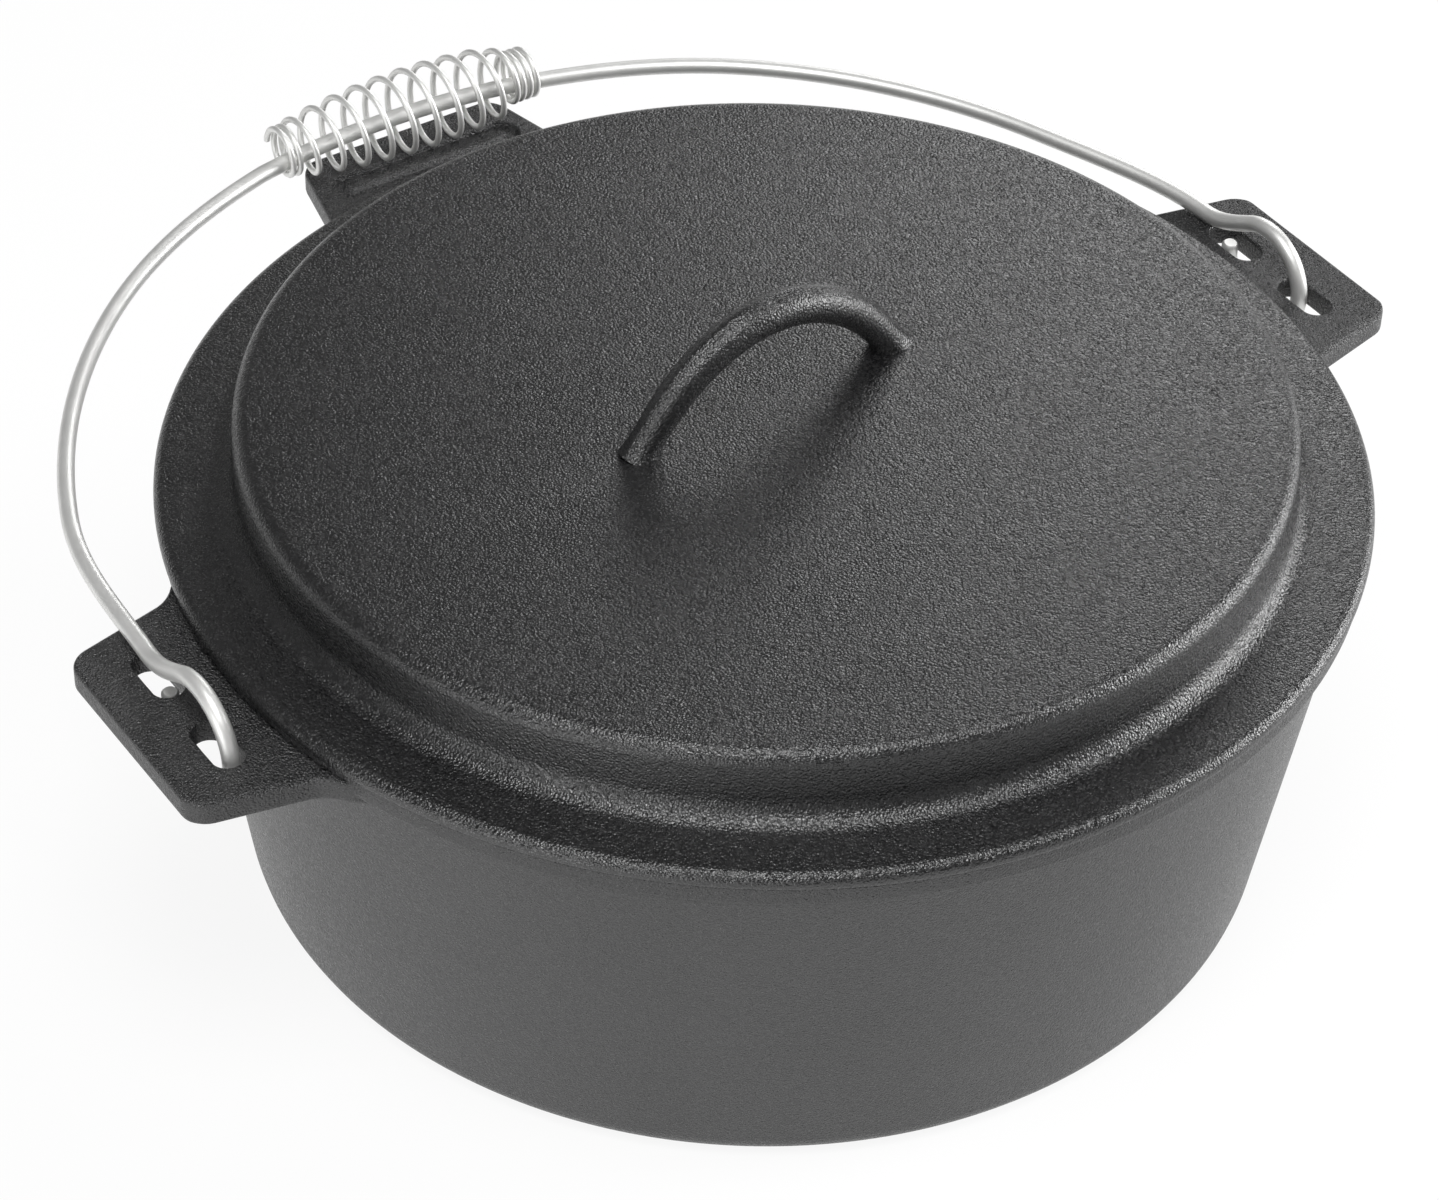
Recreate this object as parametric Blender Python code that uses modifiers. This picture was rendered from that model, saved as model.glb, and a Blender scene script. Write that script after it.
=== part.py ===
"""Cast iron chicken fryer for camp cooking.

A wide round pot with three cast lugs, a raised lid with a cast loop handle, a steel wire
bail hooked through two of the lugs, and a wound wire grip that turns on the bail.
Blender 4.5, metres, +Z up. The origin is the centre of the pot's flat base, the bail's
lugs lie on -X and +X, and the bail leans back onto the third lug on +Y.
"""

import math

import bmesh
import bpy
from mathutils import Matrix, Vector

MM = 0.001
GAP = 0.3 * MM
MERGE = 0.00005

# Pot, a tapered round body
POT_HEIGHT = 126.0 * MM
POT_TOP_RADIUS = 171.8 * MM
POT_BASE_RADIUS = 155.4 * MM
POT_WALL = 4.6 * MM
POT_FLOOR = 5.0 * MM
POT_CORNER = 9.0 * MM
POT_LIP_HEIGHT = 5.7 * MM
POT_LIP_STEP = 4.5 * MM
TURN_STEPS = 72

# Three lugs cast on the pot, one plan shape, each reaching past the lid's edge
LUG_LENGTH = 32.5 * MM
LUG_HALF_WIDTH = 36.0 * MM
LUG_FLARE = 0.22
LUG_THICKNESS = 7.5 * MM
LUG_DROP = 2.4 * MM
LUG_CORNER = 6.5 * MM
LUG_EDGE = 1.2 * MM

# Two slots in each bail lug, with the bridge that carries the bail between them
SLOT_WIDTH = 9.4 * MM
SLOT_LENGTH = 20.2 * MM
BRIDGE_WIDTH = 13.6 * MM
SLOT_INSET = 18.8 * MM

# Shallow pocket and bead on top of the rear lug
POCKET_LENGTH = 68.0 * MM
POCKET_WIDTH = 12.0 * MM
POCKET_DEPTH = 1.6 * MM
POCKET_INSET = 18.5 * MM
BEAD_LENGTH = 60.0 * MM
BEAD_WIDTH = 4.6 * MM

# Lid, a flat raised middle inside a flat flange
LID_OVERHANG = 5.7 * MM
LID_FLANGE = 4.7 * MM
LID_EDGE = 3.3 * MM
LID_RISE = 21.7 * MM
LID_WALL = 5.0 * MM
LID_FLANGE_WIDTH = 23.0 * MM
LID_SLOPE_WIDTH = 0.6 * MM
LID_CREST_ROUND = 5.0 * MM
LID_FOOT_ROUND = 7.0 * MM
RING_DEPTH = 3.0 * MM
RING_WIDTH = 5.0 * MM
RING_CLEARANCE = 1.5 * MM

# Loop handle cast on the lid
HANDLE_HALF_SPAN = 44.8 * MM
HANDLE_RISE = 29.5 * MM
HANDLE_SWEEP = math.radians(46.8)
HANDLE_FOOT = 4.6 * MM
HANDLE_MIDDLE = 5.8 * MM
HANDLE_SINK = 1.04
HANDLE_FLARE = 1.6 * MM
HANDLE_FLARE_FROM = 0.85
HANDLE_TURN = math.radians(2.7)
HANDLE_POINTS = 18

# Bail, one bent round wire, hung a little askew in its slots
WIRE = 5.2 * MM
HOOK_RADIUS = 16.5 * MM
HOOK_START = math.radians(60.0)
HOOK_END = math.radians(368.0)
HOOK_STEP = math.radians(18.0)
RAMP_END = 29.0 * MM
GRIP_HALF = 47.0 * MM
GRIP_INSET = 9.5 * MM
BAIL_ARC_STEP = math.radians(3.2)
BAIL_SKEW = math.radians(1.3)
BAIL_X = 0.5 * MM
BAIL_Y = -1.5 * MM
BOW_DRIFT = -5.5 * MM
BOW_BLEND = 60.0 * MM
BOW_PUSH = 2.7 * MM
BOW_TILT = math.radians(0.9)
BOW_RADIUS = 230.0 * MM
BOW_FADE = 70.0 * MM

# Wound wire grip, loose on the middle of the bail
COIL_WIRE = 2.0 * MM
COIL_DIAMETER = 27.6 * MM
COIL_TAPER = 6.8 * MM
COIL_PEAK = 0.58
COIL_CLEARANCE = 0.5 * MM
COIL_PITCH = 8.3 * MM
END_DIAMETER = 17.4 * MM
END_PITCH = 2.5 * MM
COIL_SAG = 2.3 * MM
COIL_X = 6.8 * MM
COIL_LAG = 1.7 * MM
COIL_SKEW = math.radians(-2.7)
TURNS_LEFT = 1.5
TURNS_GROW = 1.0
TURNS_OPEN = 8.3
TURNS_RIGHT = 3.0
POINTS_PER_TURN = 10

LID_RADIUS = POT_TOP_RADIUS + LID_OVERHANG
LID_FOOT_RADIUS = LID_RADIUS - LID_FLANGE_WIDTH
LID_CREST_RADIUS = LID_FOOT_RADIUS - LID_SLOPE_WIDTH
LUG_REACH = LID_RADIUS + LUG_LENGTH
SLOT_CENTRE = LUG_REACH - SLOT_INSET
POCKET_CENTRE = LUG_REACH - POCKET_INSET
GRIP_REACH = LUG_REACH - GRIP_INSET
LUG_TOP = POT_HEIGHT - LUG_DROP
LID_SEAT = POT_HEIGHT + GAP
FLANGE_TOP = LID_SEAT + LID_FLANGE
LID_TOP = FLANGE_TOP + LID_RISE
PIVOT_Z = LUG_TOP - LUG_THICKNESS / 2
GRIP_Z = LUG_TOP + COIL_DIAMETER / 2 + COIL_CLEARANCE
LEG_Z = LUG_TOP + WIRE / 2 + GAP
BAIL_LEAN = math.atan((GRIP_Z - COIL_SAG - LEG_Z) / (GRIP_REACH - RAMP_END))
BAIL_TURN = Matrix.Rotation(BAIL_SKEW, 4, "Z")
COIL_TURN = Matrix.Rotation(COIL_SKEW, 4, "Z")


def clear_scene():
    """Remove whatever the open file holds."""
    for thing in list(bpy.data.objects):
        bpy.data.objects.remove(thing, do_unlink=True)


def new_collection(name):
    """Add a collection under the scene's own."""
    collection = bpy.data.collections.new(name)
    bpy.context.scene.collection.children.link(collection)
    return collection


def new_material(name, colour, roughness, metallic):
    """A plain Principled BSDF material."""
    material = bpy.data.materials.new(name)
    material.use_nodes = True
    shader = material.node_tree.nodes["Principled BSDF"]
    shader.inputs["Base Color"].default_value = (*colour, 1.0)
    shader.inputs["Roughness"].default_value = roughness
    shader.inputs["Metallic"].default_value = metallic
    return material


def rounded(corners, closed=False, steps=4):
    """Outline through (u, v, radius) corners, with an arc at each corner that has a radius."""
    points = []
    count = len(corners)
    for index, (u, v, radius) in enumerate(corners):
        inside = closed or 0 < index < count - 1
        if radius <= 0 or not inside:
            points.append((u, v))
            continue
        corner = Vector((u, v))
        before = Vector(corners[index - 1][:2]) - corner
        after = Vector(corners[(index + 1) % count][:2]) - corner
        half = before.angle(after) / 2
        middle = corner + (before.normalized() + after.normalized()).normalized() * radius / math.sin(half)
        start = corner + before.normalized() * radius / math.tan(half) - middle
        sweep = start.angle_signed(corner + after.normalized() * radius / math.tan(half) - middle)
        for step in range(steps + 1):
            spoke = Matrix.Rotation(-sweep * step / steps, 2) @ start
            points.append(tuple(middle + spoke))
    return points


def turned(name, profile, collection, material):
    """Turn an (r, z) profile, listed so that its outer side runs downwards, about Z."""
    mesh = bpy.data.meshes.new(name)
    edges = [(index, index + 1) for index in range(len(profile) - 1)]
    mesh.from_pydata([(r, 0.0, z) for r, z in profile], edges, [])
    body = bpy.data.objects.new(name, mesh)
    collection.objects.link(body)
    mesh.materials.append(material)
    screw = body.modifiers.new("turn", "SCREW")
    screw.steps = TURN_STEPS
    screw.render_steps = TURN_STEPS
    screw.use_merge_vertices = True
    screw.merge_threshold = MERGE
    screw.use_smooth_shade = True
    return body


def mesh_from_curve(name, curve, collection, material, matrix=Matrix()):
    """Turn a curve into a welded mesh object and drop the curve."""
    source = bpy.data.objects.new(name + "_curve", curve)
    collection.objects.link(source)
    graph = bpy.context.evaluated_depsgraph_get()
    mesh = bpy.data.meshes.new_from_object(source.evaluated_get(graph))
    bpy.data.objects.remove(source, do_unlink=True)
    shape = bmesh.new()
    shape.from_mesh(mesh)
    bmesh.ops.remove_doubles(shape, verts=shape.verts, dist=MERGE)
    bmesh.ops.recalc_face_normals(shape, faces=shape.faces)
    bmesh.ops.transform(shape, matrix=matrix, verts=shape.verts)
    shape.to_mesh(mesh)
    shape.free()
    mesh.materials.clear()
    mesh.materials.append(material)
    solid = bpy.data.objects.new(name, mesh)
    collection.objects.link(solid)
    return solid


def flat_solid(name, outline, bottom, top, collection, material, turn=0.0):
    """Extrude a closed plan outline from bottom to top, turned about Z."""
    curve = bpy.data.curves.new(name, "CURVE")
    curve.dimensions = "2D"
    curve.fill_mode = "BOTH"
    curve.extrude = (top - bottom) / 2
    spline = curve.splines.new("POLY")
    spline.points.add(len(outline) - 1)
    for point, (x, y) in zip(spline.points, outline):
        point.co = (x, y, 0.0, 1.0)
    spline.use_cyclic_u = True
    place = Matrix.Rotation(turn, 4, "Z") @ Matrix.Translation((0.0, 0.0, (top + bottom) / 2))
    return mesh_from_curve(name, curve, collection, material, place)


def tube_curve(name, points, radius, resolution, scales=None):
    """A round tube along points, with filled ends."""
    curve = bpy.data.curves.new(name, "CURVE")
    curve.dimensions = "3D"
    curve.bevel_depth = radius
    curve.bevel_resolution = resolution
    curve.use_fill_caps = True
    spline = curve.splines.new("POLY")
    spline.points.add(len(points) - 1)
    for index, (point, place) in enumerate(zip(spline.points, points)):
        point.co = (*place, 1.0)
        point.radius = scales[index] if scales else 1.0
    return curve


def guide(shape):
    """Mark a shape that only cuts or joins another."""
    shape.hide_render = True
    shape.display_type = "WIRE"
    return shape


def combine(body, other, operation):
    """Add one Boolean to a body."""
    boolean = body.modifiers.new(other.name, "BOOLEAN")
    boolean.operation = operation
    boolean.solver = "EXACT"
    boolean.object = other


def pot_profile():
    """Section of the pot from the middle of its floor, over the rim, to the base."""
    inner_base = POT_BASE_RADIUS - POT_WALL
    inner_top = POT_TOP_RADIUS - POT_WALL
    lip = POT_TOP_RADIUS + POT_LIP_STEP
    lip_foot = POT_HEIGHT - POT_LIP_HEIGHT
    corners = [
        (0.0, POT_FLOOR, 0.0),
        (inner_base, POT_FLOOR, POT_CORNER - POT_WALL),
        (inner_top, POT_HEIGHT, 1.0 * MM),
        (lip, POT_HEIGHT, 1.2 * MM),
        (lip, lip_foot, 1.2 * MM),
        (POT_TOP_RADIUS, lip_foot - POT_LIP_STEP, 2.0 * MM),
        (POT_BASE_RADIUS, 0.0, POT_CORNER),
        (0.0, 0.0, 0.0),
    ]
    return rounded(corners)


def lug_outline():
    """Plan of the +X lug: a flared plate whose inner side is an arc inside the pot's wall."""
    root = POT_TOP_RADIUS - POT_WALL / 2
    flare = math.atan(LUG_FLARE)
    half_angle = math.asin((LUG_HALF_WIDTH + LUG_FLARE * LUG_REACH) * math.cos(flare) / root) - flare
    outer = [(LUG_REACH, -LUG_HALF_WIDTH, LUG_CORNER), (LUG_REACH, LUG_HALF_WIDTH, LUG_CORNER)]
    inner = []
    steps = 6
    for step in range(steps + 1):
        angle = half_angle * (1 - 2 * step / steps)
        inner.append((root * math.cos(angle), root * math.sin(angle), 0.0))
    return rounded(outer + inner, closed=True)


def stadium(centre, length, width):
    """Plan of a round-ended slot that runs along Y, centred at (x, y)."""
    points = []
    straight = (length - width) / 2
    steps = 6
    for side in (1, -1):
        for step in range(steps + 1):
            angle = math.pi * step / steps
            x = centre[0] + side * width / 2 * math.cos(angle)
            y = centre[1] + side * (straight + width / 2 * math.sin(angle))
            points.append((x, y))
    return points


def build_pot(parts, guides, iron):
    """Pot body with two slotted bail lugs and a rear lug."""
    pot = turned("pot", pot_profile(), parts, iron)
    outline = lug_outline()
    for name, turn in (("lug_right", 0.0), ("lug_rear", math.pi / 2), ("lug_left", math.pi)):
        lug = guide(flat_solid(name, outline, LUG_TOP - LUG_THICKNESS, LUG_TOP, guides, iron, turn))
        edge = lug.modifiers.new("edge", "BEVEL")
        edge.width = LUG_EDGE
        edge.segments = 2
        edge.limit_method = "ANGLE"
        edge.angle_limit = math.radians(50.0)
        combine(pot, lug, "UNION")
    offset = (BRIDGE_WIDTH + SLOT_LENGTH) / 2
    for x in (-SLOT_CENTRE, SLOT_CENTRE):
        for y in (-offset, offset):
            name = f"slot_{'left' if x < 0 else 'right'}_{'front' if y < 0 else 'rear'}"
            slot = stadium((x, y), SLOT_LENGTH, SLOT_WIDTH)
            low = LUG_TOP - LUG_THICKNESS - WIRE
            combine(pot, guide(flat_solid(name, slot, low, LUG_TOP + WIRE, guides, iron)), "DIFFERENCE")
    floor = LUG_TOP - POCKET_DEPTH
    outline = stadium((POCKET_CENTRE, 0.0), POCKET_LENGTH, POCKET_WIDTH)
    pocket = guide(flat_solid("pocket", outline, floor, LUG_TOP + WIRE, guides, iron, math.pi / 2))
    combine(pot, pocket, "DIFFERENCE")
    outline = stadium((POCKET_CENTRE, 0.0), BEAD_LENGTH, BEAD_WIDTH)
    bead = guide(flat_solid("bead", outline, floor - POCKET_DEPTH, LUG_TOP - GAP, guides, iron, math.pi / 2))
    combine(pot, bead, "UNION")
    return pot


def lid_profile():
    """Section of the lid from under its middle, over the locating ring and edge, to its top."""
    slope = math.atan2(LID_RISE, LID_FOOT_RADIUS - LID_CREST_RADIUS)
    shift = LID_WALL / math.sin(slope)
    under_crest = LID_CREST_RADIUS - shift + LID_WALL / math.tan(slope)
    under_foot = LID_FOOT_RADIUS - shift + LID_FLANGE / math.tan(slope)
    ring_outer = POT_TOP_RADIUS - POT_WALL - RING_CLEARANCE
    ring_inner = ring_outer - RING_WIDTH
    under_top = LID_TOP - LID_WALL
    corners = [
        (0.0, LID_TOP, 0.0),
        (LID_CREST_RADIUS, LID_TOP, LID_CREST_ROUND),
        (LID_FOOT_RADIUS, FLANGE_TOP, LID_FOOT_ROUND),
        (LID_RADIUS, FLANGE_TOP, LID_EDGE),
        (LID_RADIUS, LID_SEAT, 0.8 * MM),
        (ring_outer, LID_SEAT, 0.0),
        (ring_outer, LID_SEAT - RING_DEPTH, 0.8 * MM),
        (ring_inner, LID_SEAT - RING_DEPTH, 0.8 * MM),
        (ring_inner, LID_SEAT, 0.0),
        (under_foot, LID_SEAT, 2.0 * MM),
        (under_crest, under_top, LID_CREST_ROUND),
        (0.0, under_top, 0.0),
    ]
    return rounded(corners)


def handle_path():
    """Centre line of the loop handle and its thickness along it."""
    points = []
    scales = []
    for step in range(HANDLE_POINTS + 1):
        along = 2 * step / HANDLE_POINTS - 1
        angle = along * HANDLE_SWEEP * HANDLE_SINK
        x = HANDLE_HALF_SPAN * math.sin(angle) / math.sin(HANDLE_SWEEP)
        drop = math.cos(angle) - math.cos(HANDLE_SWEEP)
        z = LID_TOP + HANDLE_RISE * drop / (1 - math.cos(HANDLE_SWEEP))
        points.append((x, 0.0, z))
        swell = HANDLE_FOOT + (HANDLE_MIDDLE - HANDLE_FOOT) * (1 - along * along)
        foot = max(0.0, abs(along) - HANDLE_FLARE_FROM) / (1 - HANDLE_FLARE_FROM)
        scales.append((swell + HANDLE_FLARE * foot * foot) / HANDLE_MIDDLE)
    return points, scales


def build_lid(parts, guides, iron):
    """Lid with its cast loop handle."""
    lid = turned("lid", lid_profile(), parts, iron)
    points, scales = handle_path()
    curve = tube_curve("handle", points, HANDLE_MIDDLE, 3, scales)
    turn = Matrix.Rotation(HANDLE_TURN, 4, "Z")
    combine(lid, guide(mesh_from_curve("handle", curve, guides, iron, turn)), "UNION")
    return lid


def ease(value):
    """Smooth step from 0 to 1."""
    value = min(1.0, max(0.0, value))
    return value * value * (3 - 2 * value)


def sway(x):
    """How far the middle of the bow, tilted and gently curved, lies behind a square straight."""
    inner = max(-GRIP_HALF, min(GRIP_HALF, x))
    shift = BOW_PUSH - inner * math.tan(BOW_TILT) - inner ** 2 / (2 * BOW_RADIUS)
    return shift * (1 - ease((abs(x) - GRIP_HALF) / BOW_FADE))


def bail_side():
    """One side of the bail: its bow from the end of the grip, and its hook to the cut end."""
    slope_cos = math.cos(BAIL_LEAN)
    slope_sin = math.sin(BAIL_LEAN)
    base_z = LEG_Z - PIVOT_Z - RAMP_END * math.tan(BAIL_LEAN)
    radius = SLOT_CENTRE
    straight_at = GRIP_REACH / slope_cos
    centre = straight_at - math.sqrt(radius ** 2 - GRIP_HALF ** 2)
    hook_y = HOOK_RADIUS * math.cos(HOOK_START)
    hook_z = HOOK_RADIUS * math.sin(HOOK_START)
    ramp_z = base_z + RAMP_END * math.tan(BAIL_LEAN)
    reach = RAMP_END - hook_y
    start_rise = -reach / math.tan(HOOK_START)
    end_rise = reach * math.tan(BAIL_LEAN)
    bow = []
    angle = math.asin(GRIP_HALF / radius)
    while centre + radius * math.cos(angle) > RAMP_END / slope_cos:
        along = centre + radius * math.cos(angle)
        bow.append((radius * math.sin(angle), along * slope_cos, base_z + along * slope_sin))
        angle += BAIL_ARC_STEP
    hook = []
    steps = 6
    for step in range(steps):
        part = 1 - step / steps
        y = hook_y + reach * part
        cube = part ** 3
        square = part ** 2
        z = (2 * cube - 3 * square + 1) * hook_z + (cube - 2 * square + part) * start_rise
        z += (3 * square - 2 * cube) * ramp_z + (cube - square) * end_rise
        offset = max(0.0, y / slope_cos - centre)
        hook.append((math.sqrt(radius ** 2 - offset ** 2), y, z))
    turns = math.ceil((HOOK_END - HOOK_START) / HOOK_STEP)
    for step in range(turns + 1):
        angle = HOOK_START + (HOOK_END - HOOK_START) * step / turns
        hook.append((radius, HOOK_RADIUS * math.cos(angle), HOOK_RADIUS * math.sin(angle)))
    return bow, hook


def build_bail(parts, steel):
    """Wire bail, with its origin on the line through both bridges.

    The real bail is one wire. Its hooks are solids of their own, so that their collision stays
    open where they go round the bridges, and each starts a hair's breadth from the bow's end.
    """
    bow, hook = bail_side()
    bow.append(hook[0])
    steps = 8
    middle = [(GRIP_HALF * (2 * step / steps - 1), *bow[0][1:]) for step in range(1, steps)]
    points = []
    for x, y, z in [(-x, y, z) for x, y, z in reversed(bow)] + middle + bow:
        points.append((x + BOW_DRIFT * ease((y - RAMP_END) / BOW_BLEND), y + sway(x), z))
    curve = tube_curve("bail", points, WIRE / 2, 2)
    bail = mesh_from_curve("bail", curve, parts, steel, BAIL_TURN)
    bail.location = (BAIL_X, BAIL_Y, PIVOT_Z)
    start = Vector(hook[0])
    start += (Vector(hook[1]) - start).normalized() * GAP
    for name, side in (("hook_left", -1), ("hook_right", 1)):
        points = [(side * x, y, z) for x, y, z in [start] + hook[1:]]
        curve = tube_curve(name, points, WIRE / 2, 2)
        piece = mesh_from_curve(name, curve, parts, steel, BAIL_TURN)
        piece.parent = bail
    return bail


def coil_point_list(per_turn):
    """Centre line of the barrel-shaped grip along X, one unbroken wire of open and close turns."""
    total = TURNS_LEFT + 2 * TURNS_GROW + TURNS_OPEN + TURNS_RIGHT
    count = round(total * per_turn)
    points = []
    x = 0.0
    for step in range(count + 1):
        turn = total * step / count
        open_share = ease((turn - TURNS_LEFT) / TURNS_GROW)
        open_share *= 1 - ease((turn - TURNS_LEFT - TURNS_GROW - TURNS_OPEN) / TURNS_GROW)
        away = (turn - TURNS_LEFT - TURNS_GROW) / (TURNS_OPEN * COIL_PEAK) - 1
        widest = COIL_DIAMETER - COIL_TAPER * min(1.0, away * away)
        radius = (END_DIAMETER + (widest - END_DIAMETER) * open_share - COIL_WIRE) / 2
        angle = 2 * math.pi * turn
        points.append(Vector((x, radius * math.cos(angle), radius * math.sin(angle))))
        x += (END_PITCH + (COIL_PITCH - END_PITCH) * open_share) * total / count
    middle = (points[0].x + points[-1].x) / 2
    points = [point - Vector((middle, 0.0, 0.0)) for point in points]
    first = points[0] + (points[0] - points[1]).normalized() * COIL_WIRE
    last = points[-1] + (points[-1] - points[-2]).normalized() * COIL_WIRE
    return [first] + points + [last]


def least_coil_gap():
    """Least gap between neighbouring turns of the grip, measured on points of its centre line."""
    per_turn = 48
    points = coil_point_list(per_turn)
    least = min(
        (points[i] - points[j]).length
        for i in range(0, len(points), 4)
        for j in range(i + per_turn // 2, min(len(points), i + 2 * per_turn))
    )
    return least - COIL_WIRE


def build_coil(parts, steel, bail):
    """Wound grip around the middle of the bail and carried by it."""
    curve = tube_curve("coil_grip", coil_point_list(POINTS_PER_TURN), COIL_WIRE / 2, 1)
    coil = mesh_from_curve("coil_grip", curve, parts, steel, BAIL_TURN @ COIL_TURN)
    coil.parent = bail
    reach = GRIP_REACH + sway(COIL_X) - COIL_LAG
    coil.location = BAIL_TURN @ Vector((BOW_DRIFT + COIL_X, reach, GRIP_Z - PIVOT_Z))


def smooth(body, degrees):
    """Shade round faces smooth and keep true edges sharp."""
    body.data.shade_smooth()
    body.data.set_sharp_from_angle(angle=math.radians(degrees))


def main():
    clear_scene()
    parts = new_collection("chicken_fryer")
    guides = new_collection("guides")
    pot_iron = new_material("pot_iron", (0.085, 0.085, 0.087), 0.55, 0.6)
    lid_iron = new_material("lid_iron", (0.045, 0.045, 0.047), 0.6, 0.5)
    wire_steel = new_material("wire_steel", (0.62, 0.61, 0.59), 0.32, 1.0)
    pot = build_pot(parts, guides, pot_iron)
    lid = build_lid(parts, guides, lid_iron)
    bail = build_bail(parts, wire_steel)
    build_coil(parts, wire_steel, bail)
    for body in (pot, lid, bail, *bail.children):
        smooth(body, 35.0)
    print(f"least gap between the grip's turns: {least_coil_gap() / MM:.2f} mm")
    print(f"bail rises {math.degrees(BAIL_LEAN):.2f} degrees from its lugs to its grip")


main()
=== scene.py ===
"""Looks for a cast iron chicken fryer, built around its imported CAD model."""

import math

import bmesh
import bpy
from mathutils import Matrix, Vector


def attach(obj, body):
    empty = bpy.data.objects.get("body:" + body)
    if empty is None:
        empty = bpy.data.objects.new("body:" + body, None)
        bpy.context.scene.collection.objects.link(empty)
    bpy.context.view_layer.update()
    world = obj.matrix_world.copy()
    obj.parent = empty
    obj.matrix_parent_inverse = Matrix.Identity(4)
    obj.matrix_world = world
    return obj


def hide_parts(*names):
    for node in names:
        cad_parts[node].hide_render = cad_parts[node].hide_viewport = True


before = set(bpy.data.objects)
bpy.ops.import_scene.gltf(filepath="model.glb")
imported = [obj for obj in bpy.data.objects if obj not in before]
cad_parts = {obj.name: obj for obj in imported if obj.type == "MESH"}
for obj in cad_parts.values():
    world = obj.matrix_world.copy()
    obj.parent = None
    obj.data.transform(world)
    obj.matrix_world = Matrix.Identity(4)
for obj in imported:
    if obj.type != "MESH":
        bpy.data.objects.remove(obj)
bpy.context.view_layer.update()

# Camera. It stands in front of the fryer, a little to its left and well above the rim,
# turned until the lid, the base and the lugs fall where the photograph has them.
MM = 0.001
FILM_WIDTH = 36.0
CAMERA_PLACE = Vector((-579.9, -805.8, 918.5)) * MM
CAMERA_AZIMUTH = math.radians(-35.045)
CAMERA_ELEVATION = math.radians(40.358)
CAMERA_ROLL = math.radians(1.657)
CAMERA_LENS = 108.64

lens = bpy.data.cameras.new("camera")
lens.sensor_width = FILM_WIDTH
lens.lens = CAMERA_LENS
lens.clip_start = 0.01
camera = bpy.data.objects.new("camera", lens)
aim = Matrix.Rotation(CAMERA_AZIMUTH, 4, "Z")
aim @= Matrix.Rotation(math.pi / 2 - CAMERA_ELEVATION, 4, "X")
aim @= Matrix.Rotation(CAMERA_ROLL, 4, "Z")
camera.matrix_world = Matrix.Translation(CAMERA_PLACE) @ aim
bpy.context.scene.collection.objects.link(camera)
bpy.context.scene.camera = camera
bpy.context.scene.view_settings.view_transform = "Standard"

# Studio. A table of seamless white paper in a dim room, under soft panels: one overhead and a
# little to the front, one to the right, one behind on the right and a weak low one on the left.
# The camera and reflections see the paper near its own white, and it keeps the fryer's shadow.
FLOOR_HALF = 4.0
FLOOR_WHITE = "ffffff"
FLOOR_GLOW = 0.9
ROOM_LIGHT = 0.2
LAMP_AIM = Vector((0.0, 0.0, 80.0)) * MM


def linear(code):
    """An sRGB hex colour as linear RGBA."""
    channels = [int(code[index:index + 2], 16) / 255 for index in (0, 2, 4)]
    return (*[c / 12.92 if c < 0.0405 else ((c + 0.055) / 1.055) ** 2.4 for c in channels], 1.0)


def add_node(tree, kind, values=None, links=None, **settings):
    """Add a node with its settings, its input values and the sockets that feed it."""
    node = tree.nodes.new(kind)
    for name, value in settings.items():
        setattr(node, name, value)
    for name, value in (values or {}).items():
        node.inputs[name].default_value = value
    for name, socket in (links or {}).items():
        tree.links.new(socket, node.inputs[name])
    return node


def panel(name, place, width, height, power):
    """A soft rectangular light that faces the middle of the fryer."""
    light = bpy.data.lights.new(name, "AREA")
    light.shape = "RECTANGLE"
    light.size = width
    light.size_y = height
    light.energy = power
    lamp = bpy.data.objects.new(name, light)
    lamp.location = place
    lamp.rotation_euler = (LAMP_AIM - lamp.location).to_track_quat("-Z", "Y").to_euler()
    bpy.context.scene.collection.objects.link(lamp)


panel("overhead", (-0.35, -0.5, 1.6), 0.7, 0.7, 18.0)
panel("right", (1.7, -0.7, 0.6), 0.9, 0.9, 32.0)
panel("behind", (1.4, 1.1, 0.9), 0.8, 0.6, 8.5)
panel("left", (-1.6, -0.6, 0.35), 0.8, 0.8, 9.0)

shape = bmesh.new()
bmesh.ops.create_grid(shape, x_segments=1, y_segments=1, size=FLOOR_HALF)
mesh = bpy.data.meshes.new("floor")
shape.to_mesh(mesh)
shape.free()
floor = bpy.data.objects.new("floor", mesh)
bpy.context.scene.collection.objects.link(floor)

paper = bpy.data.materials.new("white_paper")
paper.use_nodes = True
tree = paper.node_tree
tree.nodes.clear()
matt = add_node(tree, "ShaderNodeBsdfDiffuse", {"Color": linear(FLOOR_WHITE)})
glow = add_node(tree, "ShaderNodeEmission", {"Color": linear(FLOOR_WHITE), "Strength": 1.0})
ray = add_node(tree, "ShaderNodeLightPath")
seen = add_node(tree, "ShaderNodeMath",
                links={0: ray.outputs["Is Camera Ray"], 1: ray.outputs["Is Glossy Ray"]},
                operation="MAXIMUM")
share = add_node(tree, "ShaderNodeMath", {1: FLOOR_GLOW}, {0: seen.outputs[0]}, operation="MULTIPLY")
mix = add_node(tree, "ShaderNodeMixShader",
               links={0: share.outputs[0], 1: matt.outputs[0], 2: glow.outputs[0]})
add_node(tree, "ShaderNodeOutputMaterial", links={"Surface": mix.outputs[0]})
mesh.materials.append(paper)

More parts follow.
